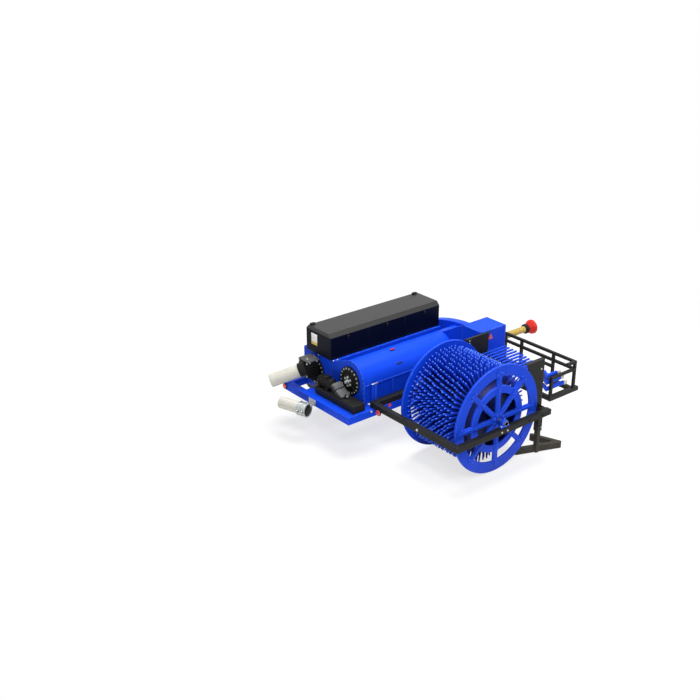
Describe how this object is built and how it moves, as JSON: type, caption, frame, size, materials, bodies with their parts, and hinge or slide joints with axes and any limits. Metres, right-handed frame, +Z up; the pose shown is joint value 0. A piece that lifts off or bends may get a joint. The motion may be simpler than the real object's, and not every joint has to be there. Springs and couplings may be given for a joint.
{
  "type": "pumpkin seed harvester",
  "caption": "Trailed pumpkin seed harvester with a spiked pickup wheel, stripper slats, drum housings under a long hinged hood, rear outlet spouts and a front hitch frame.",
  "frame": {"origin": "on the ground, under the middle of the footprint", "axes": "+X forward, towards the hitch; +Y left; +Z up"},
  "size_m": [4.2488, 3.465, 1.4999],
  "materials": {
    "blue_enamel": "gloss",
    "black_powder_coat": "satin",
    "hood_lacquer": "satin",
    "black_motor": "satin",
    "black_flange": "satin",
    "grey_cast_iron": "matt",
    "galvanised_steel": "satin",
    "bright_steel": "bright",
    "white_pipe": "satin",
    "white_rim": "satin",
    "red_lens": "gloss",
    "red_plastic": "satin",
    "yellow_plastic": "satin",
    "tyre_rubber": "matt"
  },
  "bodies": {
    "chassis": {"base_frame": "blue_enamel", "cross_casing": "blue_enamel", "drain_coupling": "galvanised_steel", "drain_spout": "white_pipe", "drive_base": "black_powder_coat", "drive_gearbox": "grey_cast_iron", "drive_motor": "black_motor", "drum_end_flanges": "black_flange", "feed_box": "blue_enamel", "feed_fairing": "blue_enamel", "front_frame": "black_powder_coat", "gathering_bars": "blue_enamel", "headstock": "black_powder_coat", "hinge_post": "blue_enamel", "hood_body": "hood_lacquer", "hood_hinge_pins": "black_powder_coat", "hood_ledge": "blue_enamel", "inner_stripper_plate": "black_powder_coat", "lamps": "red_lens", "left_axle": "black_powder_coat", "left_drum_housing": "blue_enamel", "outer_stripper_plate": "black_powder_coat", "pickup_bearings": "black_powder_coat", "pickup_frame": "black_powder_coat", "pto_cones": "red_plastic", "pto_gearbox": "grey_cast_iron", "pto_guard": "yellow_plastic", "rear_end_plate": "blue_enamel", "right_drum_housing": "blue_enamel", "seed_pump": "black_flange", "seed_spout": "white_pipe", "slat_bars": "black_powder_coat", "stand_sleeves": "black_powder_coat", "stripper_slats": "blue_enamel"},
    "pickup_wheel": {"outer_disc": "blue_enamel", "inner_disc": "blue_enamel", "spiked_drum": "blue_enamel", "pickup_shaft": "bright_steel"},
    "left_wheel": {"left_tyre": "tyre_rubber", "left_rim": "white_rim", "left_hub": "grey_cast_iron"},
    "pto_line": {"pto_shaft": "bright_steel"},
    "hood_lid": {"hood_lid": "hood_lacquer"},
    "right_stand": {"right_stand_leg": "black_powder_coat"},
    "left_stand": {"left_stand_leg": "black_powder_coat"}
  },
  "joints": [
    {"name": "pickup_wheel_spin", "type": "hinge", "parent": "chassis", "child": "pickup_wheel", "pos_m": [-0.5, -1.06, 0.75], "axis": [0, 1, 0], "continuous": true},
    {"name": "left_wheel_spin", "type": "hinge", "parent": "chassis", "child": "left_wheel", "pos_m": [-0.75, 1.59, 0.422], "axis": [0, 1, 0], "continuous": true},
    {"name": "pto_spin", "type": "hinge", "parent": "chassis", "child": "pto_line", "pos_m": [1.4, 0.19, 0.8], "axis": [1, 0, 0], "continuous": true},
    {"name": "hood_lid_hinge", "type": "hinge", "parent": "chassis", "child": "hood_lid", "pos_m": [0, 1.246, 1.3753], "axis": [-1, 0, 0], "range_deg": [0, 75]},
    {"name": "right_stand_slide", "type": "slide", "parent": "chassis", "child": "right_stand", "axis": [0, 0, 1], "range_m": [0, 0.1]},
    {"name": "left_stand_slide", "type": "slide", "parent": "chassis", "child": "left_stand", "axis": [0, 0, 1], "range_m": [0, 0.1]}
  ]
}
